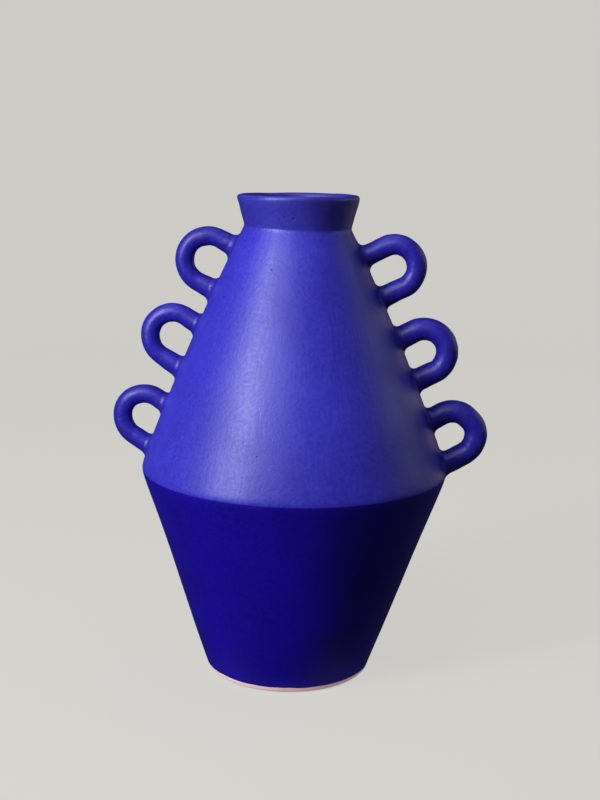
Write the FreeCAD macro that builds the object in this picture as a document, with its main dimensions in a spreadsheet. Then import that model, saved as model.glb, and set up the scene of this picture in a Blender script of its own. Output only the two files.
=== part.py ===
"""Six-handled amphora: a hand-built earthenware vase, made in sections and luted together.

A round base slab carries an inverted cone, a taller shoulder cone meets it at a sharp edge, and a
flared collar finishes the neck. Three coil loops stand on each side of the shoulder. A pressed coil
of clay backs the two inside corners, and a smoothed bead of clay seals every handle root.

The frame has its origin at the centre of the underside, +Z up, with the handles in the XZ plane.
"""

import FreeCAD, Part
import math
import os

import Sketcher
from FreeCAD import Placement, Rotation, Vector

# ---------------------------------------------------------------- driving dimensions, millimetres
POT_SIZES = [
    ("lower_cone", 146.0, "height, underside to shoulder joint"),
    ("upper_cone", 172.5, "height, shoulder joint to collar joint"),
    ("collar_height", 21.5, "collar joint to lip"),
    ("foot_radius", 58.3, "base, to the sharp corner"),
    ("foot_rounding", 3.5, "wiped lower corner of the base"),
    ("slab_thickness", 9.0, "base slab"),
    ("shoulder_radius", 108.7, "widest part, to the sharp corner"),
    ("shoulder_rounding", 7.0, "softened outer edge at the joint"),
    ("shoulder_sweep", 1800.0, "radius of the slightly swelling shoulder"),
    ("neck_radius", 36.8, "outside of the neck, its narrowest place"),
    ("neck_rounding", 2.0, "softened outer corner under the collar"),
    ("rim_radius", 43.6, "outside of the lip"),
    ("rim_wall", 6.2, "lip, measured across its top"),
    ("lip_rounding", 2.8, "rolled lip, inside and out"),
    ("wall", 7.0, "both cones"),
    ("base_coil_rounding", 9.0, "pressed clay in the bottom corner"),
    ("shoulder_coil_rounding", 52.0, "pressed clay behind the shoulder joint"),
    ("bead", 2.8, "smoothed clay round a handle root, its height and its width"),
    ("bead_slope", 45.0, "degrees between a root's smoothed clay and its leg"),
    ("bead_core", 0.8, "how much thinner than its leg a bead's core is, so that it starts inside it"),
    ("bead_embed", 4.2, "how far that clay is drawn past the wall before it is cut to seat on it"),
    ("leg_embed", 9.0, "how far a leg is drawn past the wall before it is cut to seat on it"),
]

# Each loop: where it is seated (see ROWS), the straight leg there, the bend radius of the coil's
# centreline, the tilt above the horizontal in degrees, and the coil's diameter at the bend and root.
LOOP_FIELDS = ("seat", "leg", "bend", "tilt", "coil", "root")
LOOPS = {
    "upper_left": (15.5, 11.6, 16.9, 27.0, 13.2, 15.2),
    "middle_left": (0.8, 14.0, 16.7, 32.0, 13.2, 15.2),
    "lower_left": (11.7, 15.4, 16.5, 32.5, 13.2, 15.2),
    "upper_right": (20.0, 15.8, 15.3, 28.5, 14.2, 15.6),
    "middle_right": (4.8, 14.3, 15.8, 30.0, 15.6, 16.4),
    "lower_right": (9.6, 16.0, 16.2, 29.5, 15.8, 16.4),
}

# Levels of the joints, as sheet expressions.
GROUND = "0"
SHOULDER = "sizes.lower_cone"
NECK = "sizes.lower_cone + sizes.upper_cone"
LIP = "sizes.lower_cone + sizes.upper_cone + sizes.collar_height"

# The height of each row's seat, and the point of the bend above it: the start of the arc is the
# lower leg, its end the upper leg, and its centre the middle of the loop.
ARC_START, ARC_END, ARC_CENTRE = 1, 2, 3
ROWS = {
    "lower": ("sizes.lower_cone + sizes.{loop}_seat", ARC_START),
    "middle": ("sizes.lower_cone + sizes.upper_cone / 2 - sizes.{loop}_seat", ARC_CENTRE),
    "upper": ("sizes.lower_cone + sizes.upper_cone - sizes.{loop}_seat", ARC_END),
}

# Where each leg leaves the bend, as a share of the bend's arc.
LEGS = {"lower_leg": 0.0, "upper_leg": 1.0}

# How close an edge's level and radius are to the ones that are looked for.
SAME_EDGE = 0.01

# Radius of the cylinders that part the shell at its joints, as a share of the shoulder's radius.
BAND_SPREAD = 1.5

OUT = "parts"

doc = FreeCAD.newDocument("amphora")
sizes = doc.addObject("Spreadsheet::Sheet", "sizes")


def fill_sheet():
    """Writes every driving dimension to the sheet, one row each, with its alias."""
    rows = list(POT_SIZES)
    for loop, values in LOOPS.items():
        rows += [(f"{loop}_{field}", number, "loop") for field, number in zip(LOOP_FIELDS, values)]
    for line, (alias, number, note) in enumerate(rows, start=1):
        sizes.set(f"A{line}", alias)
        sizes.set(f"B{line}", str(number))
        sizes.set(f"C{line}", note)
        sizes.setAlias(f"B{line}", alias)
    doc.recompute()


def value(expression):
    """What an expression on the sheet comes to, an angle in radians."""
    result = sizes.evalExpression(expression)
    is_angle = isinstance(result, FreeCAD.Units.Quantity) and "deg" in expression
    return result.getValueAs("rad").Value if is_angle else float(result)


def size(alias):
    """The value of one named cell."""
    return value(f"sizes.{alias}")


# ---------------------------------------------------------------- sketching
def origin_plane(body, role):
    """One of the body's own origin planes, found by its role."""
    return next(f for f in body.Origin.OriginFeatures if f.Role == role)


def new_body(name, base=None):
    """A PartDesign body, which may start from another object's solid."""
    body = doc.addObject("PartDesign::Body", name)
    body.Label = name
    if base:
        body.BaseFeature = base
        doc.recompute()
    return body


def upright_sketch(body, name):
    """A sketch on the body's XZ plane: its x is the radius and its y the height."""
    sketch = body.newObject("Sketcher::SketchObject", name)
    sketch.AttachmentSupport = [(origin_plane(body, "XZ_Plane"), "")]
    sketch.MapMode = "FlatFace"
    return sketch


def bind(sketch, kind, *where, to):
    """Adds a dimension that follows the sheet expression `to`."""
    number = sketch.addConstraint(Sketcher.Constraint(kind, *where, value(to)))
    sketch.setExpression(f"Constraints[{number}]", to)


def fix_point(sketch, element, end, x=None, y=None):
    """Ties a point's distances from the origin to sheet expressions."""
    if x:
        bind(sketch, "DistanceX", -1, 1, element, end, to=x)
    if y:
        bind(sketch, "DistanceY", -1, 1, element, end, to=y)


def join(sketch, first, second):
    """The end of one element is the start of the next."""
    sketch.addConstraint(Sketcher.Constraint("Coincident", first, 2, second, 1))


def outline(sketch, pieces):
    """Draws a closed outline, each piece joined to the next. Returns the pieces' numbers."""
    numbers = [sketch.addGeometry(piece, False) for piece in pieces]
    for first, second in zip(numbers, numbers[1:] + numbers[:1]):
        join(sketch, first, second)
    return numbers


# ---------------------------------------------------------------- the outside of the pot
def corners():
    """The sharp corners of the outside: foot, shoulder, neck and lip, as radius and height."""
    return [Vector(size("foot_radius"), 0, 0),
            Vector(size("shoulder_radius"), value(SHOULDER), 0),
            Vector(size("neck_radius"), value(NECK), 0),
            Vector(size("rim_radius"), value(LIP), 0)]


def sweep_centre():
    """Centre of the long arc that swells the shoulder, from its two ends and its radius."""
    _, low, high, _ = corners()
    chord = high - low
    reach = math.sqrt(size("shoulder_sweep") ** 2 - (chord.Length / 2) ** 2)
    inward = Vector(-chord.y, chord.x, 0).normalize()
    return (low + high) * 0.5 + inward * reach


def arc_between(centre, radius, low, high):
    """An anticlockwise arc about a centre that runs from point low to point high."""
    start = math.atan2(low.y - centre.y, low.x - centre.x)
    end = math.atan2(high.y - centre.y, high.x - centre.x)
    return Part.ArcOfCircle(Part.Circle(centre, Vector(0, 0, 1), radius), start, end)


def swell():
    """The shoulder's long arc, from the shoulder's corner to the neck's."""
    _, low, high, _ = corners()
    return arc_between(sweep_centre(), size("shoulder_sweep"), low, high)


def outer_construction(sketch):
    """Lower wall and shoulder as construction lines, tied to the sheet. Returns their numbers."""
    foot, edge, _, _ = corners()
    line = sketch.addGeometry(Part.LineSegment(foot, edge), True)
    arc = sketch.addGeometry(swell(), True)
    join(sketch, line, arc)
    sketch.addConstraint(Sketcher.Constraint("PointOnObject", line, 1, -1))
    fix_point(sketch, line, 1, x="sizes.foot_radius")
    fix_point(sketch, arc, 1, x="sizes.shoulder_radius", y=SHOULDER)
    fix_point(sketch, arc, 2, x="sizes.neck_radius", y=NECK)
    bind(sketch, "Radius", arc, to="sizes.shoulder_sweep")
    return line, arc


def revolve(body, sketch, name):
    """Turns a half outline about Z."""
    feature = body.newObject("PartDesign::Revolution", name)
    feature.Profile = sketch
    feature.ReferenceAxis = (sketch, ["V_Axis"])
    feature.Angle = 360.0
    doc.recompute()
    return feature


def round_edge(body, name, height, radius, rounding):
    """Fillets the full circular edges of a turned shape at a height and radius."""
    numbers = []
    for number, edge in enumerate(body.Tip.Shape.Edges, start=1):
        box = edge.BoundBox
        misses = [box.ZMin - height, box.ZMax - height, box.XMax - radius]
        if max(abs(miss) for miss in misses) < SAME_EDGE:
            numbers.append(number)
    feature = body.newObject("PartDesign::Fillet", name)
    feature.Base = (feature.BaseFeature, [f"Edge{n}" for n in numbers])
    feature.setExpression("Radius", f"sizes.{rounding}")
    doc.recompute()


def outer_form():
    """Everything inside the outer face: foot, lower cone, shoulder and collar, as one solid."""
    body = new_body("outer_form")
    sketch = upright_sketch(body, "outer_outline")
    foot, edge, neck, lip = corners()
    crown = Vector(0, lip.y, 0)
    floor, lower, arc, collar, top, axis = outline(sketch, [
        Part.LineSegment(Vector(), foot),
        Part.LineSegment(foot, edge),
        swell(),
        Part.LineSegment(neck, lip),
        Part.LineSegment(lip, crown),
        Part.LineSegment(crown, Vector()),
    ])
    sketch.addConstraint(Sketcher.Constraint("Coincident", floor, 1, -1, 1))
    sketch.addConstraint(Sketcher.Constraint("Horizontal", floor))
    sketch.addConstraint(Sketcher.Constraint("Horizontal", top))
    sketch.addConstraint(Sketcher.Constraint("Vertical", axis))
    fix_point(sketch, floor, 2, x="sizes.foot_radius")
    fix_point(sketch, lower, 2, x="sizes.shoulder_radius", y=SHOULDER)
    fix_point(sketch, collar, 1, x="sizes.neck_radius", y=NECK)
    fix_point(sketch, collar, 2, x="sizes.rim_radius", y=LIP)
    bind(sketch, "Radius", arc, to="sizes.shoulder_sweep")
    doc.recompute()
    revolve(body, sketch, "outer_turned")
    round_edge(body, "wiped_foot", 0.0, foot.x, "foot_rounding")
    round_edge(body, "soft_shoulder", edge.y, edge.x, "shoulder_rounding")
    round_edge(body, "soft_neck", neck.y, neck.x, "neck_rounding")
    return body


# ---------------------------------------------------------------- the hollow
def cavity_form():
    """The hollow inside the vase, sharp in its corners. Returns the body and those two corners."""
    body = new_body("cavity_form")
    sketch = upright_sketch(body, "cavity_outline")
    outer_line, outer_arc = outer_construction(sketch)
    foot, edge, neck, lip = corners()
    wall = size("wall")
    floor_centre = Vector(0, size("slab_thickness"), 0)
    crown = Vector(0, lip.y, 0)
    slope = edge - foot
    inward = Vector(-slope.y, slope.x, 0).normalize() * wall
    base_corner = foot + inward
    base_corner += slope * ((floor_centre.y - base_corner.y) / slope.y)
    inner_edge = edge + inward
    throat = neck - Vector(wall, 0, 0)
    mouth = lip - Vector(size("rim_wall"), 0, 0)
    floor, lower, arc, collar, top, axis = outline(sketch, [
        Part.LineSegment(floor_centre, base_corner),
        Part.LineSegment(base_corner, inner_edge),
        arc_between(sweep_centre(), size("shoulder_sweep") - wall, inner_edge, throat),
        Part.LineSegment(throat, mouth),
        Part.LineSegment(mouth, crown),
        Part.LineSegment(crown, floor_centre),
    ])
    sketch.addConstraint(Sketcher.Constraint("PointOnObject", axis, 2, -2))
    sketch.addConstraint(Sketcher.Constraint("Horizontal", floor))
    sketch.addConstraint(Sketcher.Constraint("Horizontal", top))
    sketch.addConstraint(Sketcher.Constraint("Vertical", axis))
    sketch.addConstraint(Sketcher.Constraint("Parallel", lower, outer_line))
    bind(sketch, "Distance", outer_line, 1, lower, to="sizes.wall")
    sketch.addConstraint(Sketcher.Constraint("Coincident", arc, 3, outer_arc, 3))
    bind(sketch, "Radius", arc, to="sizes.shoulder_sweep - sizes.wall")
    fix_point(sketch, floor, 1, y="sizes.slab_thickness")
    fix_point(sketch, collar, 1, y=NECK)
    fix_point(sketch, collar, 2, x="sizes.rim_radius - sizes.rim_wall", y=LIP)
    doc.recompute()
    revolve(body, sketch, "cavity_turned")
    return body, sketch.getPoint(lower, 1), sketch.getPoint(lower, 2)


def smoothed_cavity(cavity, base_corner, shoulder_corner):
    """The hollow with its two corners rounded: what the rounding takes off is pressed clay."""
    body = new_body("smoothed_cavity", cavity)
    round_edge(body, "base_finger", base_corner.y, base_corner.x, "base_coil_rounding")
    round_edge(body, "shoulder_finger", shoulder_corner.y, shoulder_corner.x,
               "shoulder_coil_rounding")
    return body


# ---------------------------------------------------------------- the pieces of the pot
def boolean(kind, name, base, tool, refine=True):
    """A Part::Cut, Part::Common or Part::Fuse of two objects, its split faces joined by refining."""
    result = doc.addObject(f"Part::{kind}", name)
    result.Base = base
    result.Tool = tool
    result.Label = name
    result.Refine = refine
    doc.recompute()
    return result


def band(name, low, high):
    """A cylinder wider than the vase between two heights, which are sheet expressions."""
    cylinder = doc.addObject("Part::Cylinder", name)
    cylinder.setExpression("Radius", f"sizes.shoulder_radius * {BAND_SPREAD}")
    cylinder.setExpression("Height", f"{high} - ({low})")
    cylinder.setExpression("Placement.Base.z", low)
    doc.recompute()
    return cylinder


def pot_pieces(form, cavity, smooth):
    """Base slab, two walls and collar, cut apart at their luted joints, and the two pressed coils."""
    shell = boolean("Cut", "shell", form, cavity)
    slab_top = "sizes.slab_thickness"
    pieces = [
        boolean("Common", "base_slab", shell, band("base_slab_band", GROUND, slab_top)),
        boolean("Common", "lower_wall", shell, band("lower_wall_band", slab_top, SHOULDER)),
        boolean("Common", "shoulder_wall", shell, band("shoulder_wall_band", SHOULDER, NECK)),
    ]
    cut_collar = boolean("Common", "cut_collar", shell, band("collar_band", NECK, LIP))
    collar = new_body("collar", cut_collar)
    rim = size("rim_radius")
    round_edge(collar, "rolled_lip_outside", value(LIP), rim, "lip_rounding")
    round_edge(collar, "rolled_lip_inside", value(LIP), rim - size("rim_wall"), "lip_rounding")
    pressed = boolean("Cut", "pressed_clay", cavity, smooth)
    halfway = "sizes.lower_cone / 2"
    pieces += [
        collar,
        boolean("Common", "base_corner_coil", pressed, band("base_corner_band", slab_top, halfway)),
        boolean("Common", "shoulder_corner_coil", pressed, band("shoulder_band", halfway, NECK)),
    ]
    return pieces


# ---------------------------------------------------------------- the coil loops
def loop_path(body, loop):
    """The centreline of a loop: the bend is drawn, its two legs are measured to the wall."""
    sketch = upright_sketch(body, f"{body.Label}_path")
    _, wall_arc = outer_construction(sketch)
    row = loop.split("_")[0]
    seat_height, seated = ROWS[row][0].format(loop=loop), ROWS[row][1]
    bend, tilt = size(f"{loop}_bend"), math.radians(size(f"{loop}_tilt"))
    out = Vector(math.cos(tilt), math.sin(tilt), 0)
    up = Vector(-out.y, out.x, 0)
    centre_arc = sweep_centre()
    rise = value(seat_height)
    reach = math.sqrt(size("shoulder_sweep") ** 2 - (rise - centre_arc.y) ** 2)
    seat = Vector(centre_arc.x + reach, rise, 0)
    centre = seat + out * size(f"{loop}_leg")
    centre += up * {ARC_START: bend, ARC_END: -bend, ARC_CENTRE: 0.0}[seated]
    low, high = centre - up * bend, centre + up * bend
    arc = sketch.addGeometry(arc_between(centre, bend, low, high), False)
    spread = sketch.addGeometry(Part.LineSegment(low, high), True)
    stand = sketch.addGeometry(Part.LineSegment(seat, seat + out * size(f"{loop}_leg")), True)
    sketch.addConstraint(Sketcher.Constraint("Coincident", spread, 1, arc, ARC_START))
    sketch.addConstraint(Sketcher.Constraint("Coincident", spread, 2, arc, ARC_END))
    sketch.addConstraint(Sketcher.Constraint("PointOnObject", arc, ARC_CENTRE, spread))
    sketch.addConstraint(Sketcher.Constraint("Perpendicular", spread, stand))
    sketch.addConstraint(Sketcher.Constraint("PointOnObject", stand, 1, wall_arc))
    sketch.addConstraint(Sketcher.Constraint("Coincident", stand, 2, arc, seated))
    fix_point(sketch, stand, 1, y=seat_height)
    bind(sketch, "Angle", stand, to=f"sizes.{loop}_tilt * 1 deg")
    bind(sketch, "Distance", stand, to=f"sizes.{loop}_leg")
    bind(sketch, "Radius", arc, to=f"sizes.{loop}_bend")
    for end, top, name in ((ARC_START, low, "lower_leg"), (ARC_END, high, "upper_leg")):
        leg = sketch.addGeometry(Part.LineSegment(top - out * size(f"{loop}_leg"), top), True)
        sketch.addConstraint(Sketcher.Constraint("PointOnObject", leg, 1, wall_arc))
        sketch.addConstraint(Sketcher.Constraint("Coincident", leg, 2, arc, end))
        sketch.addConstraint(Sketcher.Constraint("Perpendicular", leg, spread))
        length = sketch.addConstraint(Sketcher.Constraint("Distance", leg, size(f"{loop}_leg")))
        sketch.setDriving(length, False)
        sketch.renameConstraint(length, name)
    doc.recompute()
    return sketch


def coil_section(body, path, loop, leg, diameter):
    """A round section of the coil, square to the path where the bend meets one of the legs."""
    section = body.newObject("Sketcher::SketchObject", f"{body.Label}_{leg}_section")
    section.AttachmentSupport = [(path, "Edge1")]
    section.MapMode = "NormalToEdge"
    section.MapPathParameter = LEGS[leg]
    radius = value(diameter) / 2
    circle = section.addGeometry(Part.Circle(Vector(), Vector(0, 0, 1), radius), False)
    section.addConstraint(Sketcher.Constraint("Coincident", circle, 3, -1, 1))
    bind(section, "Diameter", circle, to=diameter)
    doc.recompute()
    return section


def leg_pad(body, section, loop, leg, length):
    """Draws a leg straight towards the wall, growing from the bend's diameter to the root's."""
    feature = body.newObject("PartDesign::Pad", f"{body.Label}_{leg}")
    feature.Profile = section
    feature.Reversed = leg == "upper_leg"
    feature.setExpression("Length", length)
    feature.setExpression("TaperAngle", f"atan((sizes.{loop}_root - sizes.{loop}_coil) / 2"
                          f" / (sizes.{loop}_leg + sizes.leg_embed))")
    doc.recompute()
    return feature


def loop_coil(loop):
    """One coil, bent round and with both legs drawn straight past the wall."""
    body = new_body(f"{loop}_coil")
    path = loop_path(body, loop)
    sections = {leg: coil_section(body, path, loop, leg, f"sizes.{loop}_coil") for leg in LEGS}
    bend = body.newObject("PartDesign::AdditivePipe", f"{loop}_bend")
    bend.Profile = sections["lower_leg"]
    bend.Spine = (path, ["Edge1"])
    doc.recompute()
    for leg, section in sections.items():
        leg_pad(body, section, loop, leg, f"{path.Name}.Constraints.{leg} + sizes.leg_embed * 1 mm")
    return body


def root_skirt(loop, leg):
    """A core within one leg, with a skirt that spreads from it to leave the leg one bead's height
    above the wall, and goes on into the wall."""
    body = new_body(f"{loop}_{leg}_skirt")
    path = loop_path(body, loop)
    section = coil_section(body, path, loop, leg, f"sizes.{loop}_coil - sizes.bead_core")
    lead = "sizes.bead_core / 2 / tan(sizes.bead_slope * 1 deg)"
    stem = leg_pad(body, section, loop, leg,
                   f"{path.Name}.Constraints.{leg} - (sizes.bead + {lead}) * 1 mm")
    ends = [(face.Area, number) for number, face in enumerate(stem.Shape.Faces, start=1)
            if isinstance(face.Surface, Part.Plane)]
    flare = body.newObject("PartDesign::Pad", f"{loop}_{leg}_flare")
    flare.Profile = (stem, [f"Face{max(ends)[1]}"])
    flare.setExpression("Length", f"sizes.bead + {lead} + sizes.bead_embed")
    flare.setExpression("TaperAngle", "sizes.bead_slope")
    doc.recompute()
    return body


def loop_pieces(loop, form):
    """A handle seated on the wall, and the bead round each of its roots. The beads keep their
    split faces: they are thin, and joining faces across the soft shoulder spoils them."""
    turn = Placement(Vector(), Rotation(Vector(0, 0, 1), 180 if loop.endswith("left") else 0))
    coil = loop_coil(loop)
    coil.Placement = turn
    pieces = [boolean("Cut", f"{loop}_handle", coil, form)]
    for leg in LEGS:
        skirt = root_skirt(loop, leg)
        skirt.Placement = turn
        outside = boolean("Cut", f"{loop}_{leg}_skirt_outside", skirt, form, refine=False)
        pieces.append(boolean("Cut", f"{loop}_{leg}_bead", outside, coil, refine=False))
    return pieces


def export(pieces):
    """Checks every object and every piece, then writes one STEP file for each piece."""
    for item in doc.Objects:
        if {"Invalid", "Error"} & set(item.State):
            raise RuntimeError(f"{item.Name} failed: {item.State}")
    for piece in pieces:
        shape = piece.Shape
        if shape.isNull() or not shape.isValid() or len(shape.Solids) != 1:
            raise RuntimeError(f"{piece.Label} is not one valid solid")
    os.makedirs(OUT, exist_ok=True)
    for piece in pieces:
        piece.Shape.exportStep(f"{OUT}/{piece.Label}.step")
        print(f"{piece.Label:34s} {piece.Shape.Volume / 1000:9.2f} cm3")


if __name__ == "__main__":
    fill_sheet()
    pot = outer_form()
    hollow, base_corner, shoulder_corner = cavity_form()
    all_pieces = pot_pieces(pot, hollow, smoothed_cavity(hollow, base_corner, shoulder_corner))
    for loop_name in LOOPS:
        all_pieces += loop_pieces(loop_name, pot)
    export(all_pieces)
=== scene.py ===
"""A six-handled amphora: a hand-built vase in matte ultramarine glaze, bare clay at its foot."""
import math

import bpy
import numpy as np
from mathutils import Matrix, Vector


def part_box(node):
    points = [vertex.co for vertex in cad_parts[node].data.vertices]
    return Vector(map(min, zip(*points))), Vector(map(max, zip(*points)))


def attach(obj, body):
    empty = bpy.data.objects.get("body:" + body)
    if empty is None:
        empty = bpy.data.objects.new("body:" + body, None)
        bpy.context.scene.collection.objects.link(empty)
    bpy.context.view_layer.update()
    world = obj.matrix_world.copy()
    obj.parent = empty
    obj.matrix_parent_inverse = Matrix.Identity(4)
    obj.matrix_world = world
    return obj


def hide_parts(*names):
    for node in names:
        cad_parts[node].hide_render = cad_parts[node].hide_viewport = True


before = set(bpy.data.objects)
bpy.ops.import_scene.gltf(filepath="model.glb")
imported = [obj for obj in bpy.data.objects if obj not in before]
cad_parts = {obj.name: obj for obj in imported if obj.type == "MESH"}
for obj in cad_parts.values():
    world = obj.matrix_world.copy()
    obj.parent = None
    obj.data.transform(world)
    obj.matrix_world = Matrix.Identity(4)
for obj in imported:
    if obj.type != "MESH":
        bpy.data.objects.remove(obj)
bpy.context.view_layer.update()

MM = 0.001
TURN = 2 * math.pi

# ---------------------------------------------------------------------------------------------
# The base slab. A round slab of pink earthenware, cut with a wire and wiped round its lower
# corner. Glaze stops a little above the table, so the lowest edge and the underside stay bare.
# ---------------------------------------------------------------------------------------------
SLAB_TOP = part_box("base_slab")[1].z
EDGE_RISE = 2.3 * MM             # the edge was scraped upwards from the joint
SHOULDER_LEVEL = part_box("shoulder_wall")[0].z + EDGE_RISE
NECK_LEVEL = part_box("collar")[0].z
LIP_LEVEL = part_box("collar")[1].z
FOOT_RADIUS = 57.9 * MM
SHOULDER_RADIUS = 108.9 * MM
NECK_RADIUS = 36.5 * MM
RIM_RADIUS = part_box("collar")[1].x
SWELL = 2.6 * MM                 # how far the shoulder bows out of a straight cone
SHOULDER_SOFTNESS = 1.0 * MM     # how far the sharp corner is worn back
NECK_SOFTNESS = 0.35 * MM
FOOT_ROUNDING = 3.3 * MM
GLAZE_LINE = 4.2 * MM            # height of the glaze's lower edge
AROUND = 512                     # points round each turned shape

# How far the hand and the scraper left each unevenness.
EDGE_WANDER = 0.55 * MM          # up and down, at the shoulder
LOWER_HOLLOW = 0.70 * MM
OVAL = 0.35 * MM
SWELLS = 0.40 * MM
FACETS = 0.13 * MM

# How far the neck's joint was pressed down: all round, more at +X, and less at +Y.
NECK_SUNK, SUNK_RIGHT, SUNK_LESS = 0.45 * MM, 0.9 * MM, 0.3 * MM
SUNK_REACH = 9 * MM


def soft_noise(u, v, cells, seed):
    """Smooth bumps from -1 to 1. u is a share of a turn and closes on itself, v runs from 0 to 1.
    Random heights on a lattice of cells (round, along) are joined by smoothstep curves."""
    around, along = cells
    lattice = np.random.default_rng(seed).uniform(-1, 1, (around, along + 2))
    a, b = (u % 1) * around, np.clip(v, 0, 1) * along
    i, j = np.floor(a).astype(int), np.floor(b).astype(int)
    s, t = a - i, b - j
    s, t = s * s * (3 - 2 * s), t * t * (3 - 2 * t)
    low, low_next = lattice[i % around, j], lattice[(i + 1) % around, j]
    high, high_next = lattice[i % around, j + 1], lattice[(i + 1) % around, j + 1]
    return (low * (1 - s) + low_next * s) * (1 - t) + (high * (1 - s) + high_next * s) * t


def soft_min(a, b, softness):
    """The smaller of two slopes, joined by a hyperbola that stays `softness` below their corner."""
    return (a + b - np.sqrt((a - b) ** 2 + 4 * softness ** 2)) / 2


def cone(z, z0, r0, z1, r1):
    """Radius at height z of the straight side from (r0, z0) to (r1, z1)."""
    return r0 + (r1 - r0) * (z - z0) / (z1 - z0)


def true_radius(z):
    """The turned outline: the lower cone and the swelling upper cone meet at a soft edge, and the
    collar's flare leaves the upper cone at a soft crease."""
    lower = cone(z, 0, FOOT_RADIUS, SHOULDER_LEVEL, SHOULDER_RADIUS)
    share = (z - SHOULDER_LEVEL) / (NECK_LEVEL - SHOULDER_LEVEL)
    upper = cone(z, SHOULDER_LEVEL, SHOULDER_RADIUS, NECK_LEVEL, NECK_RADIUS)
    upper = upper + 4 * SWELL * share * (1 - share)
    flare = cone(z, NECK_LEVEL, NECK_RADIUS, LIP_LEVEL, RIM_RADIUS)
    return -soft_min(-soft_min(lower, upper, SHOULDER_SOFTNESS), -flare, NECK_SOFTNESS)


# How far the axis has strayed along X, in millimetres, at shares of the height.
STRAY = np.polynomial.Polynomial.fit([0, 0.21, 0.43, 0.68, 0.94, 1],
                                     [-1.9, -0.8, 0.5, -0.3, -0.5, -1.0], 4)


def near(z, level, reach):
    """1 at a level, and a bell curve down to nothing over a few times the reach."""
    return np.exp(-((z - level) / reach) ** 2)


def lean(z):
    """The stray of the axis at a height, because the parts were joined by eye: a smooth curve
    through the foot, the lower wall, the shoulder and the neck."""
    return STRAY(np.clip(z / LIP_LEVEL, 0, 1)) * MM


def outside(angle, z):
    """Radius of the outer face as the hand left it: leaning and slightly oval, with slow swells,
    the shallow facets of a scraper, a lower wall a little hollow under the shoulder, and an edge
    that wanders up and down a little."""
    turn, share = angle / TURN, z / LIP_LEVEL
    wander = EDGE_WANDER * soft_noise(turn, 0 * z, (7, 1), 3)
    edge = near(z, SHOULDER_LEVEL, 30 * MM)
    hollow = -LOWER_HOLLOW * near(z, 0.68 * SHOULDER_LEVEL, 42 * MM)
    oval = OVAL * np.cos(2 * angle + 0.7) + lean(z) * np.cos(angle)
    swells = SWELLS * soft_noise(turn, share, (6, 5), 11)
    facets = FACETS * soft_noise(turn, share, (31, 12), 12)
    return true_radius(z - wander * edge) + oval + hollow + swells + facets


def ring(radius, z, angle):
    """Points round the axis, from arrays of radius and height. The neck's joint was pressed down,
    and heights near it sink with it by a bell curve."""
    radius, z, angle = np.broadcast_arrays(radius, z, angle)
    pressed = NECK_SUNK + SUNK_RIGHT * np.cos(angle) - SUNK_LESS * np.sin(angle)
    sunk = pressed * near(z, NECK_LEVEL, SUNK_REACH)
    return np.stack([radius * np.cos(angle), radius * np.sin(angle), z - sunk], axis=-1)


def skin(name, grid, poles=False):
    """A closed mesh from a grid of points (rows, round, xyz). The grid closes on itself both ways,
    or ends in a pole at the middle of its first and last rows. Its signed volume, the sum of
    a . (b x c) over its faces, says whether the faces have to be turned the right way out."""
    rows, around = grid.shape[:2]
    number = np.arange(rows * around).reshape(rows, around)
    points = grid.reshape(-1, 3)
    right = np.roll(number, -1, axis=1)
    above = number[1:] if poles else np.roll(number, -1, axis=0)
    above_right = np.roll(above, -1, axis=1)
    here, here_right = number[:len(above)], right[:len(above)]
    faces = np.stack([here, here_right, above_right, above], axis=-1).reshape(-1, 4).tolist()
    if poles:
        low, high = len(points), len(points) + 1
        points = np.vstack([points, grid[0].mean(axis=0), grid[-1].mean(axis=0)])
        faces += [[low, b, a] for a, b in zip(number[0].tolist(), right[0].tolist())]
        faces += [[a, b, high] for a, b in zip(number[-1].tolist(), right[-1].tolist())]
    first = np.array([f[:3] for f in faces])
    a, b, c = (points[first[:, k]] for k in range(3))
    if np.einsum("ij,ij->", a, np.cross(b, c)) < 0:
        faces = [f[::-1] for f in faces]
    mesh = bpy.data.meshes.new(name)
    mesh.from_pydata(points.tolist(), [], faces)
    mesh.shade_smooth()
    mesh.set_sharp_from_angle(angle=math.radians(48))
    piece = bpy.data.objects.new(name, mesh)
    bpy.context.scene.collection.objects.link(piece)
    return piece


def bend(a, corner, b, t):
    """A quadratic curve from a to b that leaves and arrives along the lines to the corner."""
    t = np.asarray(t)[:, None]
    return (1 - t) ** 2 * a + 2 * t * (1 - t) * corner + t ** 2 * b


def link(tree, source, target):
    """Joins an output socket to an input socket."""
    tree.links.new(source, target)


def node(tree, kind, **values):
    """Adds a shader node. A value whose name is one of its settings is set there, and any other is
    an input socket, by name or by number after `in_`."""
    made = tree.nodes.new(kind)
    for name, value in values.items():
        if hasattr(made, name):
            setattr(made, name, value)
        else:
            key = int(name[3:]) if name.startswith("in_") else name.replace("_", " ").title()
            target = made.inputs[key]
            if isinstance(value, bpy.types.NodeSocket):
                tree.links.new(value, target)
            else:
                target.default_value = value
    return made


def math_node(tree, operation, a, b=0.0, c=0.0, clamp=False):
    """One sum, product or other operation on sockets or numbers."""
    return node(tree, "ShaderNodeMath", operation=operation, use_clamp=clamp,
                in_0=a, in_1=b, in_2=c).outputs[0]


def step_node(tree, value, low, high):
    """0 below low, 1 above high, and smooth between."""
    made = node(tree, "ShaderNodeMapRange", interpolation_type="SMOOTHSTEP")
    link(tree, value, made.inputs["Value"])
    made.inputs["From Min"].default_value = low
    made.inputs["From Max"].default_value = high
    return made.outputs["Result"]


def mix_node(tree, share, a, b):
    """A colour between a and b."""
    made = node(tree, "ShaderNodeMix", data_type="RGBA")
    for key, value in ((0, share), (6, a), (7, b)):
        if isinstance(value, bpy.types.NodeSocket):
            link(tree, value, made.inputs[key])
        else:
            made.inputs[key].default_value = value
    return made.outputs[2]


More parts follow.
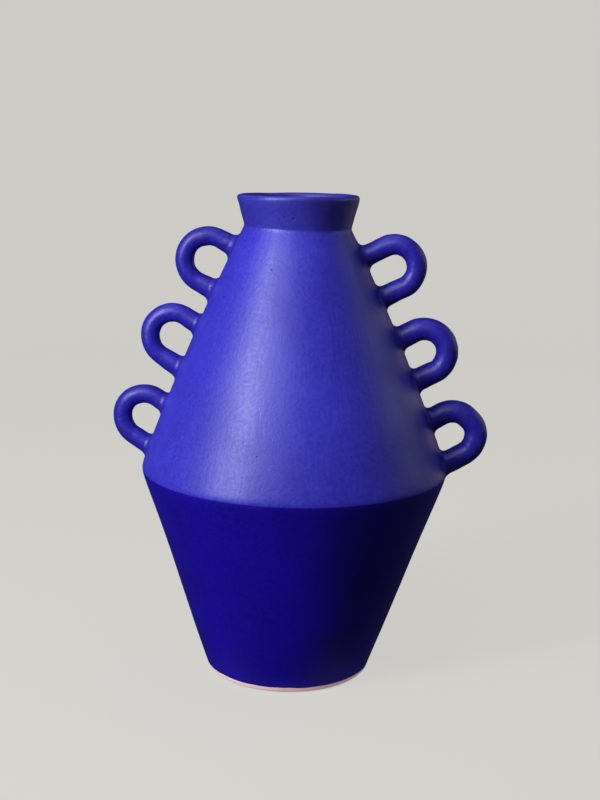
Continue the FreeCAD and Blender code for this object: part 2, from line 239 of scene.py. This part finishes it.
def noise_node(tree, vector, scale, detail=2.0, roughness=0.5):
    """Noise from 0 to 1 at so many bumps to the unit of its vector."""
    made = node(tree, "ShaderNodeTexNoise", scale=scale, detail=detail, roughness=roughness)
    link(tree, vector, made.inputs["Vector"])
    return made.outputs["Fac"]


def sway_node(tree, value, weight, base, clamp=False):
    """base + weight * (value - a half): moves the base both ways with a noise from 0 to 1."""
    return math_node(tree, "MULTIPLY_ADD", math_node(tree, "SUBTRACT", value, 0.5), weight, base,
                     clamp=clamp)


def new_group(name, inputs, outputs):
    """An empty shader node group with its sockets: (name, socket type, default)."""
    tree = bpy.data.node_groups.new(name, "ShaderNodeTree")
    for label, kind, default in inputs:
        socket = tree.interface.new_socket(label, in_out="INPUT", socket_type=kind)
        if default is not None:
            socket.default_value = default
    for label, kind in outputs:
        tree.interface.new_socket(label, in_out="OUTPUT", socket_type=kind)
    return tree, tree.nodes.new("NodeGroupInput"), tree.nodes.new("NodeGroupOutput")


# Marks in the glaze, in bumps to the metre.
CLOUDS, PATCHES, ORANGE_PEEL, PINHOLES = 16.0, 22.0, 420.0, 150.0
GLAZE_ROUGHNESS = 0.44
# The colour inside a pinhole: painted shade.
PIT_SHADE_COLOUR = (0.004, 0.002, 0.07, 1)


def make_glaze_group():
    """Matte glaze as it comes out of the kiln. Clouds of deeper and lighter blue, fine orange peel,
    faint streaks where a wide brush laid it on, and a few pinholes darkened with painted shade.
    Grain is a place stretched along the brush strokes, Position is a place in metres."""
    tree, given, out = new_group("matte_glaze", [
        ("Position", "NodeSocketVector", None), ("Grain", "NodeSocketVector", None),
        ("Deep", "NodeSocketColor", (0.014, 0.009, 0.29, 1)),
        ("Light", "NodeSocketColor", (0.042, 0.038, 0.50, 1)),
        ("Streaks", "NodeSocketFloat", 0.5), ("Pits", "NodeSocketFloat", 0.5),
    ], [("Color", "NodeSocketColor"), ("Roughness", "NodeSocketFloat"),
        ("Height", "NodeSocketFloat")])
    place, grain = given.outputs["Position"], given.outputs["Grain"]
    clouds = noise_node(tree, place, CLOUDS, 3.0, 0.55)
    patches = step_node(tree, noise_node(tree, place, PATCHES, 1.0), 0.42, 0.62)
    peel = noise_node(tree, place, ORANGE_PEEL, 3.0, 0.6)
    strokes = noise_node(tree, grain, 1.0, 3.0, 0.62)
    stroke_share = math_node(tree, "MULTIPLY", math_node(tree, "MULTIPLY_ADD", patches, 0.7, 0.3),
                             given.outputs["Streaks"])
    stroke = math_node(tree, "MULTIPLY", math_node(tree, "SUBTRACT", strokes, 0.5), stroke_share)
    cells = node(tree, "ShaderNodeTexVoronoi", scale=PINHOLES)
    link(tree, place, cells.inputs["Vector"])
    chance = node(tree, "ShaderNodeSeparateColor")
    link(tree, cells.outputs["Color"], chance.inputs[0])
    picked = math_node(tree, "LESS_THAN", chance.outputs[0],
                       math_node(tree, "MULTIPLY", given.outputs["Pits"], 0.2))
    hole = math_node(tree, "SUBTRACT", 1.0, step_node(tree, cells.outputs["Distance"], 0.06, 0.17))
    pit = math_node(tree, "MULTIPLY", hole, picked)
    tone = math_node(tree, "ADD", sway_node(tree, clouds, 1.5, 0.5), stroke)
    tone = sway_node(tree, peel, 0.8, tone, clamp=True)
    colour = mix_node(tree, tone, given.outputs["Deep"], given.outputs["Light"])
    # The pinholes are darkened with painted shade.
    shade = math_node(tree, "MULTIPLY", pit, 0.75)
    colour = mix_node(tree, shade, colour, PIT_SHADE_COLOUR)
    link(tree, colour, out.inputs["Color"])
    rough = sway_node(tree, clouds, -0.22, GLAZE_ROUGHNESS)
    rough = math_node(tree, "MULTIPLY_ADD", stroke, -0.12, rough)
    rough = sway_node(tree, peel, 0.26, rough)
    link(tree, rough, out.inputs["Roughness"])
    height = math_node(tree, "MULTIPLY_ADD", peel, 0.85, math_node(tree, "MULTIPLY", stroke, 0.34))
    height = math_node(tree, "MULTIPLY_ADD", pit, -0.9, height)
    link(tree, height, out.inputs["Height"])
    return tree


GLAZE = make_glaze_group()


def start_material(name, specular):
    """A material with a Principled shader, and its node tree."""
    material = bpy.data.materials.new(name)
    material.use_nodes = True
    shader = material.node_tree.nodes["Principled BSDF"]
    shader.inputs["Specular IOR Level"].default_value = specular
    return material, material.node_tree, shader


# Brush strokes to a radian and to a metre of height on a wall, and to a metre on a coil.
STROKES_ROUND, STROKES_UP, COIL_STROKES = 62.0, 55.0, 260.0
PEEL_DEPTH = 0.34 * MM


def wall_grain(tree, place):
    """A place stretched up the wall, so that brush strokes fan out with the cone: its direction
    from the axis, times the strokes to a radian, and a little of its height."""
    parts = node(tree, "ShaderNodeSeparateXYZ")
    link(tree, place, parts.inputs[0])
    flat = node(tree, "ShaderNodeCombineXYZ")
    link(tree, parts.outputs[0], flat.inputs[0])
    link(tree, parts.outputs[1], flat.inputs[1])
    direction = node(tree, "ShaderNodeVectorMath", operation="NORMALIZE")
    link(tree, flat.outputs[0], direction.inputs[0])
    spread = node(tree, "ShaderNodeVectorMath", operation="SCALE")
    link(tree, direction.outputs[0], spread.inputs[0])
    spread.inputs["Scale"].default_value = STROKES_ROUND
    rise = node(tree, "ShaderNodeCombineXYZ")
    link(tree, math_node(tree, "MULTIPLY", parts.outputs[2], STROKES_UP), rise.inputs[2])
    grain = node(tree, "ShaderNodeVectorMath", operation="ADD")
    link(tree, spread.outputs[0], grain.inputs[0])
    link(tree, rise.outputs[0], grain.inputs[1])
    return grain.outputs[0]


def glazed(name, streaks, pits, follow_wall=True, deep=None, light=None, specular=0.42):
    """A glaze material. On a wall its strokes follow the cone; on a coil they run every way."""
    material, tree, shader = start_material(name, specular)
    place = node(tree, "ShaderNodeTexCoord").outputs["Object"]
    if follow_wall:
        grain = wall_grain(tree, place)
    else:
        scaled = node(tree, "ShaderNodeVectorMath", operation="SCALE")
        link(tree, place, scaled.inputs[0])
        scaled.inputs["Scale"].default_value = COIL_STROKES
        grain = scaled.outputs[0]
    glaze = tree.nodes.new("ShaderNodeGroup")
    glaze.node_tree = GLAZE
    link(tree, place, glaze.inputs["Position"])
    link(tree, grain, glaze.inputs["Grain"])
    glaze.inputs["Streaks"].default_value = streaks
    glaze.inputs["Pits"].default_value = pits
    if deep:
        glaze.inputs["Deep"].default_value = deep
    if light:
        glaze.inputs["Light"].default_value = light
    bump = node(tree, "ShaderNodeBump", strength=0.5, distance=PEEL_DEPTH)
    link(tree, glaze.outputs["Height"], bump.inputs["Height"])
    link(tree, glaze.outputs["Color"], shader.inputs["Base Color"])
    link(tree, glaze.outputs["Roughness"], shader.inputs["Roughness"])
    link(tree, bump.outputs["Normal"], shader.inputs["Normal"])
    return material, tree, shader, glaze, bump


def place_piece(piece, nodes, material):
    """Gives a piece its material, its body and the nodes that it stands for."""
    piece.data.materials.append(material)
    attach(piece, "root")
    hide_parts(*nodes)


angles = np.arange(AROUND) / AROUND * TURN


def slab_grid():
    """The slab's outline turned about the axis: out along the underside, round the wiped corner,
    up the side, and back in across the floor of the vase."""
    steps = np.linspace(0, 1, 9)
    hub, across = 1 * MM, 29
    side = true_radius(np.array(2 * FOOT_ROUNDING))
    corner = np.array([FOOT_RADIUS, 0.0])
    below = np.array([FOOT_RADIUS - 0.75 * FOOT_ROUNDING, 0.0])
    above = np.array([cone(FOOT_ROUNDING, 0, FOOT_RADIUS, SHOULDER_LEVEL, SHOULDER_RADIUS),
                      FOOT_ROUNDING])
    under = np.stack([np.linspace(hub, below[0], across + 1)[:-1], np.zeros(across)], axis=1)
    heights = np.linspace(FOOT_ROUNDING, SLAB_TOP, 12)[1:]
    flank = np.stack([true_radius(heights), heights], axis=1)
    top = np.stack([np.linspace(flank[-1, 0], hub, across + 1)[1:],
                    np.full(across, SLAB_TOP)], axis=1)
    outline = np.vstack([under, bend(below, corner, above, steps), flank, top])
    radius, height = outline[:, 0][:, None], outline[:, 1][:, None]
    spare = outside(angles[None], height) - true_radius(height)
    return ring(radius + spare * radius / side, height, angles[None])


# The foot and the lower wall get a deeper blue than the shoulder: painted shade, as they face down.
SHADED_DEEP_BLUE = (0.004, 0.0006, 0.19, 1)
SHADED_LOWER_BLUE = (0.011, 0.002, 0.37, 1)
LOWER_SHINE = 0.26
# Pink clay with grog, made paler than it is: painted light from the floor on the foot.
LIT_DARK_CLAY = (0.80, 0.50, 0.47, 1)
LIT_PALE_CLAY = (0.97, 0.77, 0.74, 1)
CLAY_ROUGHNESS = 0.88
LINE_WOBBLE = 1.6 * MM
LINE_BLUR = 0.12 * MM


def slab_material():
    """Bare earthenware under the glaze line, which is uneven and a little thicker at its edge.
    The clay is made paler than it is, painted light from the floor, and the glaze above has
    the deeper blue of painted shade.
    """
    material, tree, shader, glaze, bump = glazed(
        "foot_glaze_and_clay", 0.35, 0.1, deep=SHADED_DEEP_BLUE, light=SHADED_LOWER_BLUE, specular=LOWER_SHINE)
    place = node(tree, "ShaderNodeTexCoord").outputs["Object"]
    parts = node(tree, "ShaderNodeSeparateXYZ")
    link(tree, place, parts.inputs[0])
    line = sway_node(tree, noise_node(tree, place, 60.0, 2.0), LINE_WOBBLE, GLAZE_LINE)
    above = math_node(tree, "SUBTRACT", parts.outputs[2], line)
    coated = step_node(tree, above, -LINE_BLUR, LINE_BLUR)
    grog = noise_node(tree, place, 700.0, 4.0, 0.65)
    clay = mix_node(tree, grog, LIT_DARK_CLAY, LIT_PALE_CLAY)
    link(tree, mix_node(tree, coated, clay, glaze.outputs["Color"]), shader.inputs["Base Color"])
    rough = node(tree, "ShaderNodeMix", data_type="FLOAT")
    link(tree, coated, rough.inputs[0])
    rough.inputs[2].default_value = CLAY_ROUGHNESS
    link(tree, glaze.outputs["Roughness"], rough.inputs[3])
    link(tree, rough.outputs[0], shader.inputs["Roughness"])
    height = math_node(tree, "MULTIPLY_ADD", coated, 1.2,
                       math_node(tree, "MULTIPLY_ADD", grog, 0.5, glaze.outputs["Height"]))
    link(tree, height, bump.inputs["Height"])
    return material


base = skin("Base_slab", slab_grid(), poles=True)
place_piece(base, ["base_slab"], slab_material())

# ---------------------------------------------------------------------------------------------
# The lower wall. A slab of clay rolled out, bent into an upside-down cone and luted to the base,
# then scraped smooth outside. It faces down, so it is the darkest and most even part.
# ---------------------------------------------------------------------------------------------
WALL = 7.5 * MM                  # measured level, through both cones
DENTS = 0.45 * MM                # of fingers, inside


def inside(angle, z):
    """Radius of the inner face: the outer face less the wall, with the dents of pressing fingers."""
    dents = DENTS * soft_noise(angle / TURN, z / LIP_LEVEL, (26, 22), 21)
    return outside(angle, z) - WALL + dents


def crowded(low, high, towards_low, towards_high, count):
    """Heights from low to high, drawn closer together towards the ends that are asked for."""
    t = np.linspace(0, 1, count)
    t = t ** (2 if towards_low else 1)
    t = 1 - (1 - t) ** (2 if towards_high else 1)
    return low + (high - low) * t


def shell_grid(low, high, towards_low, towards_high):
    """A wall between two joints: up its outer face and down its inner face."""
    up = crowded(low, high, towards_low, towards_high, 96)[:, None]
    down = np.linspace(high, low, 40)[:, None]
    return np.concatenate([ring(outside(angles[None], up), up, angles[None]),
                           ring(inside(angles[None], down), down, angles[None])])


lower = skin("Lower_wall", shell_grid(SLAB_TOP, SHOULDER_LEVEL, False, True))
# Its glaze is the deeper blue of painted shade.
lower_glaze = glazed(
    "lower_wall_glaze", 0.35, 0.1, deep=SHADED_DEEP_BLUE, light=SHADED_LOWER_BLUE, specular=LOWER_SHINE)[0]
place_piece(lower, ["lower_wall"], lower_glaze)

# ---------------------------------------------------------------------------------------------
# The shoulder wall. A taller cone of the same clay, luted edge to edge on the lower one. It takes
# the light, so brush strokes, clouds in the glaze and pinholes near the neck show on it.
# ---------------------------------------------------------------------------------------------
PITTED_FROM = 260 * MM           # above this height the pinholes get more frequent

shoulder = skin("Shoulder_wall", shell_grid(SHOULDER_LEVEL, NECK_LEVEL, True, True))
shoulder_glaze, tree, shader, glaze, bump = glazed("shoulder_glaze", 1.0, 0.6)
parts = node(tree, "ShaderNodeSeparateXYZ")
link(tree, node(tree, "ShaderNodeTexCoord").outputs["Object"], parts.inputs[0])
towards_neck = step_node(tree, parts.outputs[2], PITTED_FROM, NECK_LEVEL)
link(tree, math_node(tree, "MULTIPLY_ADD", towards_neck, 1.8, 0.1), glaze.inputs["Pits"])
place_piece(shoulder, ["shoulder_wall"], shoulder_glaze)

# ---------------------------------------------------------------------------------------------
# The collar. A short strip of clay flared outwards and luted to the neck, its lip rolled between
# wet fingers.
# ---------------------------------------------------------------------------------------------
RIM_WALL = 6.2 * MM
LIP_OUTER = 3.9 * MM             # rounding of the lip outside, and the tighter one inside
LIP_INNER = 2.2 * MM
LIP_WAVE = 0.5 * MM              # slow rise and fall of the lip, with a quicker ripple on it
LIP_RIPPLE = 0.2 * MM
PINCH = 0.38 * MM                # marks of the fingers that pinched the flare
# The collar's blue is darker than the shoulder's: painted shade, as the flare faces a little down.
SHADED_COLLAR_DEEP = (0.014, 0.009, 0.21, 1)
SHADED_COLLAR_LIGHT = (0.042, 0.038, 0.41, 1)


def collar_grid():
    """Up the flare, over the rolled lip and down the inside to the throat."""
    steps = np.linspace(0, 1, 9)
    outer_top = np.array([RIM_RADIUS, LIP_LEVEL])
    slope = np.array([RIM_RADIUS - NECK_RADIUS, LIP_LEVEL - NECK_LEVEL])
    slope = slope / np.hypot(*slope)
    inner_top = outer_top - [RIM_WALL, 0]
    over = np.vstack([
        bend(outer_top - slope * LIP_OUTER, outer_top, outer_top - [LIP_OUTER, 0], steps),
        bend(inner_top + [LIP_INNER, 0], inner_top, inner_top - slope * LIP_INNER, steps)])
    rise = crowded(NECK_LEVEL, over[0, 1], True, False, 40)[:-1]
    fall = np.linspace(over[-1, 1], NECK_LEVEL, 24)[1:]
    outer = np.stack([true_radius(rise), rise], axis=1)
    throat = NECK_RADIUS - WALL
    inner = np.stack([cone(fall, NECK_LEVEL, throat, over[-1, 1], over[-1, 0]), fall], axis=1)
    outline = np.vstack([outer, over, inner])
    radius, height = outline[:, 0][:, None], outline[:, 1][:, None]
    turn = angles[None] / TURN
    lift = LIP_WAVE * soft_noise(turn, 0 * height, (5, 1), 31)
    lift = lift + LIP_RIPPLE * soft_noise(turn, 0 * height, (17, 1), 32)
    share = (height - NECK_LEVEL) / (LIP_LEVEL - NECK_LEVEL)
    pinched = PINCH * share * soft_noise(turn, share, (15, 3), 33)
    spare = outside(angles[None], height) - true_radius(height)
    return ring(radius + spare + pinched, height + lift * share, angles[None])


collar = skin("Collar", collar_grid())
collar_glaze = glazed("collar_glaze", 0.6, 1.1, deep=SHADED_COLLAR_DEEP, light=SHADED_COLLAR_LIGHT)[0]
place_piece(collar, ["collar"], collar_glaze)

# ---------------------------------------------------------------------------------------------
# The corner coils. Soft rolls of clay pressed by a finger into the two inside corners, which seal
# the joints. Each press leaves a shallow scallop.
# ---------------------------------------------------------------------------------------------


def corner_grid(corner, low, high, presses, seed):
    """A concave fillet from the point low to the point high, in front of its corner. Radii and
    heights are pairs of numbers, and the scallops deepen the middle of the fillet. Its back is the
    same curve drawn in halfway to the corner."""
    steps = np.linspace(0, 1, 13)
    low, corner, high = np.array(low), np.array(corner), np.array(high)
    behind = np.array([0.8 * MM, 0])
    face = bend(low, corner, high, steps)
    back = bend(high + behind, corner + behind, low + behind, steps) * 0.5
    back = back + 0.5 * (corner + 1.5 * behind)
    outline = np.vstack([face, back])
    middle = np.concatenate([np.sin(steps * math.pi), 0 * steps])[:, None]
    turn = angles[None] / TURN
    scallop = 0.5 * MM * (np.abs(np.sin(angles[None] * presses / 2)) - 0.6)
    uneven = 0.4 * MM * soft_noise(turn, 0 * turn, (19, 1), seed)
    radius = outline[:, 0][:, None] + middle * (scallop + uneven)
    return ring(radius, outline[:, 1][:, None] + 0 * radius, angles[None])


floor_corner = (cone(SLAB_TOP, 0, FOOT_RADIUS, SHOULDER_LEVEL, SHOULDER_RADIUS) - WALL, SLAB_TOP)
base_coil = skin("Base_corner_coil", corner_grid(
    floor_corner, (floor_corner[0] - 6.4 * MM, SLAB_TOP + 0.1 * MM),
    (floor_corner[0] + 2.0 * MM, SLAB_TOP + 6.0 * MM), 34, 41))
inside_glaze = glazed("inside_glaze", 0.4, 0.2)[0]
place_piece(base_coil, ["base_corner_coil"], inside_glaze)
edge_radius = SHOULDER_RADIUS - WALL - 0.6 * MM
shoulder_coil = skin("Shoulder_corner_coil", corner_grid(
    (edge_radius, SHOULDER_LEVEL), (edge_radius - 6.3 * MM, SHOULDER_LEVEL - 18.5 * MM),
    (edge_radius - 7.2 * MM, SHOULDER_LEVEL + 18.0 * MM), 46, 42))
place_piece(shoulder_coil, ["shoulder_corner_coil"], inside_glaze)

# ---------------------------------------------------------------------------------------------
# The loop handles. Coils rolled by hand about as thick as a finger, bent round and pressed on to
# the scored shoulder. Each one is a little fatter towards its roots, and none is quite round.
# ---------------------------------------------------------------------------------------------
# Bend radius of the centreline, tilt above level in degrees, thickness at the bend, and how much
# thicker it is for each millimetre of leg.
LOOPS = {
    "upper_left": (16.9 * MM, 27.0, 13.2 * MM, 0.097),
    "middle_left": (16.7 * MM, 32.0, 13.2 * MM, 0.087),
    "lower_left": (16.5 * MM, 32.5, 13.2 * MM, 0.082),
    "upper_right": (15.3 * MM, 28.5, 14.2 * MM, 0.056),
    "middle_right": (15.8 * MM, 30.0, 15.6 * MM, 0.034),
    "lower_right": (16.2 * MM, 29.5, 15.8 * MM, 0.032),
}
SLUMPED = {"lower_right": 1.1 * MM}      # how far a handle sank while it was soft
ROUND_COIL = 72                  # points round a coil
UNEVEN, LUMPS = 0.045, 0.014     # shares of a coil's radius
SINK = 1.6 * MM                  # how far a coil's end reaches into the wall
# The coils' blue is deeper than the shoulder's: partly the glaze's own colour, partly painted shade
# on the handles.
SHADED_COIL_DEEP = (0.008, 0.004, 0.19, 1)
SHADED_COIL_LIGHT = (0.024, 0.018, 0.38, 1)


def loop_centre(name):
    """Centre of a loop's bend, from the outermost and highest points of its handle."""
    low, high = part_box(f"{name}_handle")
    bend_radius, _, thickness, _ = LOOPS[name]
    reach = bend_radius + thickness / 2
    x = low.x + reach if name.endswith("left") else high.x - reach
    z = high.z - reach - SLUMPED.get(name, 0)
    return np.array([x + lean(z), 0, z])


CENTRES = {name: loop_centre(name) for name in LOOPS}


def coil_surface(name, along, around):
    """Points on a coil. `along` is measured on the centreline: 0 to 1 round the bend, and beyond
    it metres of straight leg, below 0 on the lower leg and above 1 on the upper leg. `around` is
    the angle round the coil. The radius swells slowly by a few hundredths, with small lumps: their
    noise runs from 0.2 to 0.8 round the bend, and on by 0.1 for each centimetre of leg."""
    bend_radius, tilt, thickness, growth = LOOPS[name]
    side = -1 if name.endswith("left") else 1
    out = np.array([side * math.cos(math.radians(tilt)), 0, math.sin(math.radians(tilt))])
    up = np.array([-side * math.sin(math.radians(tilt)), 0, math.cos(math.radians(tilt))])
    share = np.clip(along, 0, 1)
    leg = np.maximum(-along, 0) + np.maximum(along - 1, 0)
    sweep = (share - 0.5) * math.pi
    arm = np.cos(sweep)[..., None] * out + np.sin(sweep)[..., None] * up
    seed = sum(map(ord, name))
    wander = soft_noise(0 * along, share, (3, 4), seed)
    middle = CENTRES[name] + bend_radius * arm - leg[..., None] * out
    middle = middle + np.stack([0 * wander, 0.5 * MM * wander, 0 * wander], axis=-1)
    length = share * 0.6 + 0.2 + np.clip(-leg * (along < 0) + leg * (along > 1), -0.02, 0.02) * 10
    uneven = soft_noise(around / TURN, length, (5, 9), seed + 1)
    lumps = soft_noise(around / TURN, length, (13, 30), seed + 2)
    radius = thickness / 2 * (1 + UNEVEN * uneven + LUMPS * lumps) + leg * growth / 2
    across = np.cos(around)[..., None] * arm + np.sin(around)[..., None] * np.array([0, 1.0, 0])
    return middle + radius[..., None] * across


def depth(points):
    """How far points are outside the wall, measured level."""
    x, y, z = points[..., 0], points[..., 1], points[..., 2]
    return np.hypot(x, y) - outside(np.arctan2(y, x), z)


def root_line(name, end, around):
    """Where the straight legs' surface meets the wall: `along` for each angle round the coil. The
    leg is followed in by the depth that is left, until none is."""
    leg = np.full_like(around, 8 * MM)
    for _ in range(40):
        along = -leg if end == 0 else 1 + leg
        leg = leg + 0.8 * depth(coil_surface(name, along, around))
    return -leg if end == 0 else 1 + leg


def handle_grid(name):
    """A coil from inside the wall at its lower root to inside the wall at its upper root."""
    around = np.arange(ROUND_COIL) / ROUND_COIL * TURN
    low = root_line(name, 0, around) - SINK
    high = root_line(name, 1, around) + SINK
    t = np.linspace(0, 1, 22)[:, None]
    lower_leg, upper_leg = low * (1 - t[:-1]), 1 + (high - 1) * t[1:]
    arc = np.linspace(0, 1, 60)[:, None] + 0 * around
    return np.concatenate([coil_surface(name, along, around + 0 * along)
                           for along in (lower_leg, arc, upper_leg)])


coil_glaze = glazed("coil_glaze", 0.9, 0.5, follow_wall=False, specular=0.40,
                    deep=SHADED_COIL_DEEP, light=SHADED_COIL_LIGHT)[0]
for name in LOOPS:
    handle = skin(f"{name.title()}_handle", handle_grid(name), poles=True)
    place_piece(handle, [f"{name}_handle"], coil_glaze)

# ---------------------------------------------------------------------------------------------
# The root beads. Slip and soft clay smoothed by a fingertip into the corner between each leg and
# the wall, hollow in section, so that the coil seems to grow out of the shoulder.
# ---------------------------------------------------------------------------------------------
BEAD = 5.0 * MM
BEAD_BACK = 1.2 * MM
BEAD_HAIR = 0.04 * MM            # how far its thin edges lie under the glaze
ROUND_BEAD = 96


def bead_grid(name, end):
    """A hollow fillet round one root. For each angle a curve leaves the leg one bead's height above
    the root line, turns at the root and arrives on the wall one bead's width away. It closes
    through the clay behind."""
    around = np.arange(ROUND_BEAD) / ROUND_BEAD * TURN
    root = root_line(name, end, around)
    outward = 1 if end == 0 else -1
    uneven = 1 + 0.14 * soft_noise(around / TURN, 0 * around, (6, 1), sum(map(ord, name)) + end)
    corner = coil_surface(name, root, around)
    on_leg = coil_surface(name, root + outward * BEAD * uneven, around)
    centre = coil_surface(name, root, around + math.pi)
    away = corner - (corner + centre) / 2
    away = away / np.linalg.norm(away, axis=-1, keepdims=True)
    x, y, z = np.moveaxis(corner + away * (BEAD * uneven)[:, None], -1, 0)
    angle = np.arctan2(y, x)
    for _ in range(6):
        off = depth(np.stack([x, y, z], axis=-1))
        x, y = x - off * np.cos(angle), y - off * np.sin(angle)
        angle = np.arctan2(y, x)
    on_wall = np.stack([x, y, z], axis=-1)
    into_wall = -np.stack([np.cos(angle), np.sin(angle), 0 * angle], axis=-1)
    into_leg = -away
    start, stop = on_leg + into_leg * BEAD_HAIR, on_wall + into_wall * BEAD_HAIR
    steps = np.linspace(0, 1, 15)[:, None, None]
    face = (1 - steps) ** 2 * start + 2 * steps * (1 - steps) * corner + steps ** 2 * stop
    behind = [stop + into_wall * BEAD_BACK, corner + (into_wall + into_leg) * BEAD_BACK,
              start + into_leg * BEAD_BACK]
    return np.concatenate([face, np.stack(behind)])


for name in LOOPS:
    for end, leg in enumerate(("lower_leg", "upper_leg")):
        bead = skin(f"{name.title()}_{leg}_bead", bead_grid(name, end))
        place_piece(bead, [f"{name}_{leg}_bead"], coil_glaze)

# ---------------------------------------------------------------------------------------------
# The studio. A round sweep of plain pale paper, a soft window at the left with a weaker pane
# nearer the front, a wide soft light overhead, a cool and a warm one at the right, and the light
# that the paper throws back on the foot.
# ---------------------------------------------------------------------------------------------


def backdrop():
    """Paper that lies level under the vase and curves up all round it: a quarter circle of bend
    between a flat disc and an upright wall, turned about the axis."""
    hub, level, curve, halfway, top, round_count = 0.02, 1.4, 0.8, 1.6, 3.0, 96
    swing = np.linspace(0, math.pi / 2, 25)
    flat = np.linspace(hub, level, 12)[:-1]
    reach = np.concatenate([flat, level + curve * np.sin(swing), [level + curve] * 2])
    rise = np.concatenate([0 * flat, curve - curve * np.cos(swing), [halfway, top]])
    turn = np.arange(round_count) / round_count * TURN
    points = np.stack([reach[:, None] * np.cos(turn), reach[:, None] * np.sin(turn),
                       rise[:, None] + 0 * turn], axis=-1)
    number = np.arange(len(reach) * round_count).reshape(len(reach), round_count)
    right = np.roll(number, -1, axis=1)
    faces = np.stack([number[:-1], right[:-1], right[1:], number[1:]], axis=-1)
    faces = [number[0].tolist()[::-1]] + faces.reshape(-1, 4)[:, ::-1].tolist()
    mesh = bpy.data.meshes.new("Paper_sweep")
    mesh.from_pydata(points.reshape(-1, 3).tolist(), [], faces)
    mesh.shade_smooth()
    paper = bpy.data.objects.new("Paper_sweep", mesh)
    bpy.context.scene.collection.objects.link(paper)
    material, tree, shader = start_material("pale_paper", 0.0)
    shader.inputs["Base Color"].default_value = (0.075, 0.075, 0.07, 1)
    shader.inputs["Roughness"].default_value = 1.0
    shader.inputs["Emission Color"].default_value = (0.62, 0.61, 0.58, 1)
    shader.inputs["Emission Strength"].default_value = 0.95
    mesh.materials.append(material)
    paper.visible_diffuse = paper.visible_glossy = False


def soft_light(name, place, aim, width, height, power, colour, mirrored=True):
    """A rectangular soft box that faces the point it is aimed at. One that is not mirrored lights
    a surface softly but leaves no highlight on it."""
    light = bpy.data.lights.new(name, "AREA")
    light.shape, light.size, light.size_y = "RECTANGLE", width, height
    light.energy, light.color = power, colour
    lamp = bpy.data.objects.new(name, light)
    lamp.location = place
    lamp.rotation_euler = (Vector(aim) - Vector(place)).to_track_quat("-Z", "Y").to_euler()
    lamp.visible_camera = False
    lamp.visible_glossy = mirrored
    bpy.context.scene.collection.objects.link(lamp)


backdrop()
VASE_MIDDLE = (0, 0, 0.2)
soft_light("Window", (-0.80, -0.86, 0.73), VASE_MIDDLE, 0.32, 0.74, 19.0, (0.98, 0.99, 1.0))
soft_light("Window_front", (-0.30, -1.16, 1.10), VASE_MIDDLE, 0.45, 0.60, 4.6, (0.98, 0.99, 1.0))
soft_light("Paper_bounce", (0, 0, 0.4 * MM), (0, 0, 1), 0.128, 0.128, 0.022,
           (1.0, 0.88, 0.92), mirrored=False)
soft_light("Overhead", (-0.2, -0.2, 1.6), VASE_MIDDLE, 1.4, 1.4, 6.0, (1.0, 0.99, 0.97))
soft_light("Cool_side", (1.18, 0.30, 0.62), VASE_MIDDLE, 0.60, 0.8, 2.0, (0.82, 0.94, 1.0))
soft_light("Warm_card", (0.95, 1.05, 0.40), VASE_MIDDLE, 0.6, 0.9, 1.2, (1.0, 0.80, 0.68))
world = bpy.data.worlds.new("Room")
world.use_nodes = True
world.node_tree.nodes["Background"].inputs["Color"].default_value = (0.80, 0.79, 0.77, 1)
world.node_tree.nodes["Background"].inputs["Strength"].default_value = 0.045
bpy.context.scene.world = world
bpy.context.scene.view_settings.view_transform = "Standard"

# ---------------------------------------------------------------------------------------------
# The camera. A long lens a little under a metre away, at the height of the rim, looking down.
# ---------------------------------------------------------------------------------------------
CAMERA_DISTANCE = 0.881
CAMERA_HEIGHT = 0.3764
CAMERA_SIDE = 0.0034             # how far it stands to the right of the line to the vase
CAMERA_TURN = math.radians(6.0)  # round the vase, towards the right-hand handles
LOOK_DOWN = math.radians(11.556)
ROLL = 0.0219
FOCAL_SHARE = 1269.5 / 800       # focal length over the picture's height

right = Vector((math.cos(CAMERA_TURN), math.sin(CAMERA_TURN), 0))
ahead = Vector((-math.sin(CAMERA_TURN), math.cos(CAMERA_TURN), 0))
forward = ahead * math.cos(LOOK_DOWN) - Vector((0, 0, math.sin(LOOK_DOWN)))
level_up = right.cross(forward)
rolled_right = right * math.cos(ROLL) + level_up * math.sin(ROLL)
rolled_up = rolled_right.cross(forward)
camera = bpy.data.cameras.new("Camera")
camera.sensor_fit, camera.sensor_height = "VERTICAL", 24.0
camera.lens = FOCAL_SHARE * camera.sensor_height
view = bpy.data.objects.new("Camera", camera)
spot = right * CAMERA_SIDE - ahead * CAMERA_DISTANCE + Vector((0, 0, CAMERA_HEIGHT))
view.matrix_world = Matrix.Translation(spot) @ Matrix(
    (rolled_right, rolled_up, -forward)).transposed().to_4x4()
bpy.context.scene.collection.objects.link(view)
bpy.context.scene.camera = view
